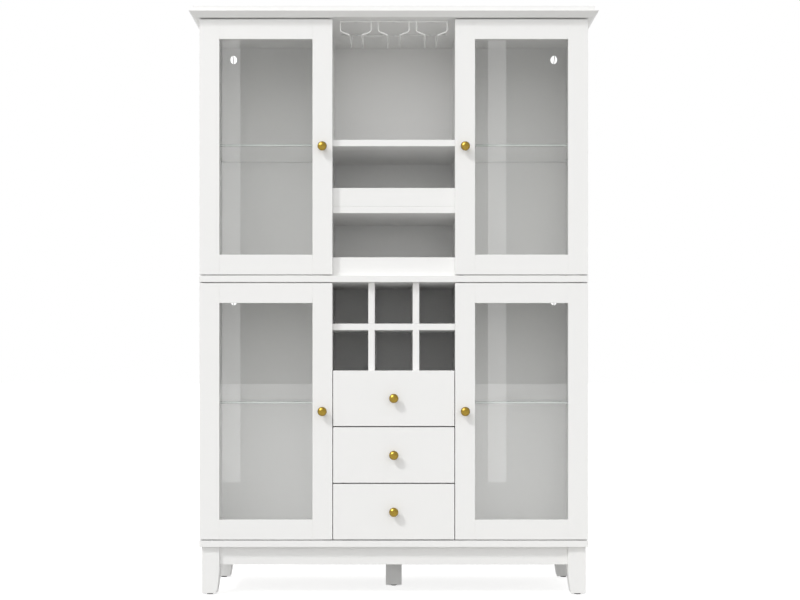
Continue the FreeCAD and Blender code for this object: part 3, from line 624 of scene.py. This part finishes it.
# Drawers: a plain lacquered front screwed to a grooved box with a thin base. The box runs on side-mounted
# steel slides that are packed out from the partitions.
DRAWERS = ["drawer_%d" % number for number in (1, 2, 3)]
RUNNER_EASED, CHANNEL_EASED = 0.0008, 0.0003
for drawer in DRAWERS:
    for part in ("front", "box", "base"):
        painted("%s_%s" % (drawer, part))
    piece(drawer + "_steel_runners", copied(drawer + "_runners"), zinc, drawer, RUNNER_EASED,
          [drawer + "_runners"])
piece("steel_channels", copied("slide_channels"), zinc, "cabinet", CHANNEL_EASED,
      ["slide_channels"])
painted("slide_packers")

# Knobs: turned from brass bar, polished and clear-lacquered, with a domed head on a waisted neck. Fingers
# have dulled them a little.
BRASS_DARK, BRASS_LIGHT = (0.25, 0.163, 0.018, 1), (0.34, 0.228, 0.032, 1)
BRASS_ROUGHNESS, SMEAR_ROUGHENS = 0.24, 0.08
BRASS_LACQUER, BRASS_LACQUER_ROUGHNESS = 0.3, 0.15
SMEAR_LUMPS, SMEAR_DEPTH = 120, 0.00003

brass, start = finish("polished_brass")
smear = noise(start, SMEAR_LUMPS, detail=4)
skin(start, {
    "Base Color": blend(start, smear, BRASS_DARK, BRASS_LIGHT),
    "Metallic": 1.0,
    "Roughness": BRASS_ROUGHNESS + SMEAR_ROUGHENS * smear,
    "Coat Weight": BRASS_LACQUER,
    "Coat Roughness": BRASS_LACQUER_ROUGHNESS,
    "Normal": relief(start, smear, SMEAR_DEPTH)})

KNOB_RADIUS, KNOB_REACH, KNOB_SEGMENTS = 0.013, 0.026, 64
KNOB_PROFILE_SHARES = (
    (0.00, 0.00), (0.615, 0.00), (0.615, 0.05), (0.57, 0.085), (0.42, 0.13), (0.385, 0.20), (0.385, 0.36),
    (0.46, 0.44), (0.72, 0.52), (0.94, 0.575), (1.00, 0.62), (1.00, 0.67), (0.97, 0.73), (0.87, 0.82),
    (0.70, 0.905), (0.50, 0.957), (0.26, 0.99), (0.00, 1.00))
for label in DOORS + DRAWERS:
    low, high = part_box(label + "_knob")
    turned = bmesh.new()
    profile = [turned.verts.new((out * KNOB_RADIUS, 0, up * KNOB_REACH)) for out, up in KNOB_PROFILE_SHARES]
    edges = [turned.edges.new(pair) for pair in zip(profile, profile[1:])]
    bmesh.ops.spin(turned, geom=profile + edges, cent=(0, 0, 0), axis=(0, 0, 1), dvec=(0, 0, 0),
                   angle=4 * QUARTER_TURN, steps=KNOB_SEGMENTS, use_merge=True)
    bmesh.ops.remove_doubles(turned, verts=turned.verts, dist=MERGE)
    bmesh.ops.recalc_face_normals(turned, faces=turned.faces)
    seat = Vector(((low.x + high.x) / 2, high.y, (low.z + high.z) / 2))
    bmesh.ops.transform(turned, matrix=Matrix.Translation(seat) @ Matrix.Rotation(QUARTER_TURN, 4, "X"),
                        verts=turned.verts)
    knob = piece(label + "_brass_knob", turned, brass, label, standing_for=[label + "_knob"])
    rounded = knob.modifiers.new("rounded", "SUBSURF")
    rounded.levels = rounded.render_levels = 1

# The room: a pale floor that keeps a faint shadow, a white surround that lights more from the front, and a
# soft key from the upper left. Two upright strips draw a paler stripe on the panes of each side, and a
# soft box beside the key shows in gloss alone.
FLOOR_HALF, FLOOR_OWN, FLOOR_PAPER = 60, 0.78, (0.50, 0.495, 0.485, 1)
WHITE = (1, 1, 1, 1)


def seen(start):
    """1 where the camera sees the finish, by itself, in gloss or through glass."""
    return ray(start, "Camera") + ray(start, "Glossy") + ray(start, "Transmission")


floor_finish, start = finish("studio_floor")
paper = start.node("ShaderNodeBsdfDiffuse", {}, {"Color": FLOOR_PAPER})
glow = start.node("ShaderNodeEmission", {}, {"Color": WHITE, "Strength": FLOOR_OWN * seen(start)})
shown(start, start.node("ShaderNodeAddShader", {}, {0: paper, 1: glow}))
floor_shape = bmesh.new()
bmesh.ops.create_grid(floor_shape, x_segments=1, y_segments=1, size=FLOOR_HALF)
floor_mesh = bpy.data.meshes.new("studio_floor")
floor_shape.to_mesh(floor_mesh)
floor_shape.free()
floor_mesh.materials.append(floor_finish)
floor = bpy.data.objects.new("studio_floor", floor_mesh)
bpy.context.scene.collection.objects.link(floor)

WORLD_LIGHT, FRONT_LIGHT, FRONT_NARROWS = 0.72, 1.34, 8
world = bpy.data.worlds.new("studio")
bpy.context.scene.world = world
world.use_nodes = True
world.node_tree.nodes.clear()
start = Wire(world.node_tree)
direction = start.node("ShaderNodeTexCoord", output="Generated")
depth = start.node("ShaderNodeSeparateXYZ", {}, {"Vector": direction}, "Y")
facing = start.maths("MAXIMUM", 0 - depth, 0)
light = WORLD_LIGHT + FRONT_LIGHT * facing ** FRONT_NARROWS
surround = start.node("ShaderNodeBackground", {}, {
    "Color": WHITE, "Strength": light + (1 - light) * seen(start)})
start.node("ShaderNodeOutputWorld", {}, {"Surface": surround})

KEY_FROM = Vector((-1.02, -1.0, 1.33))
KEY_POWER, KEY_ANGLE = 1.15, math.radians(8)
STRIPES_X = (-0.451, 0.287)
STRIP_AWAY, STRIP_UP = 4.11, 1.0
STRIP_WIDTH, STRIP_HEIGHT, STRIP_POWER = 0.10, 3.2, 1.3
SOFT_AIM, SOFT_AWAY = Vector((0, 0, 1)), 5.5
SOFT_SIZE, SOFT_POWER = 5.0, 290


def lamp(name, kind, power):
    """A new lamp in the scene."""
    made = bpy.data.objects.new(name, bpy.data.lights.new(name, kind))
    made.data.energy = power
    bpy.context.scene.collection.objects.link(made)
    return made


key = lamp("key", "SUN", KEY_POWER)
key.data.angle = KEY_ANGLE
key.rotation_euler = KEY_FROM.to_track_quat("Z", "Y").to_euler()
for number, stripe_x in enumerate(STRIPES_X):
    strip = lamp("strip_%d" % number, "AREA", STRIP_POWER)
    strip.data.shape, strip.data.size, strip.data.size_y = "RECTANGLE", STRIP_WIDTH, STRIP_HEIGHT
    strip.location = (stripe_x * (1 + STRIP_AWAY / CAMERA_AWAY), FRONT - STRIP_AWAY, STRIP_UP)
    strip.rotation_euler = (QUARTER_TURN, 0, 0)
    strip.visible_diffuse = False
soft = lamp("soft_box", "AREA", SOFT_POWER)
soft.data.size = SOFT_SIZE
soft.location = SOFT_AIM + SOFT_AWAY * KEY_FROM.normalized()
soft.rotation_euler = key.rotation_euler
soft.visible_diffuse = soft.visible_camera = soft.visible_transmission = False
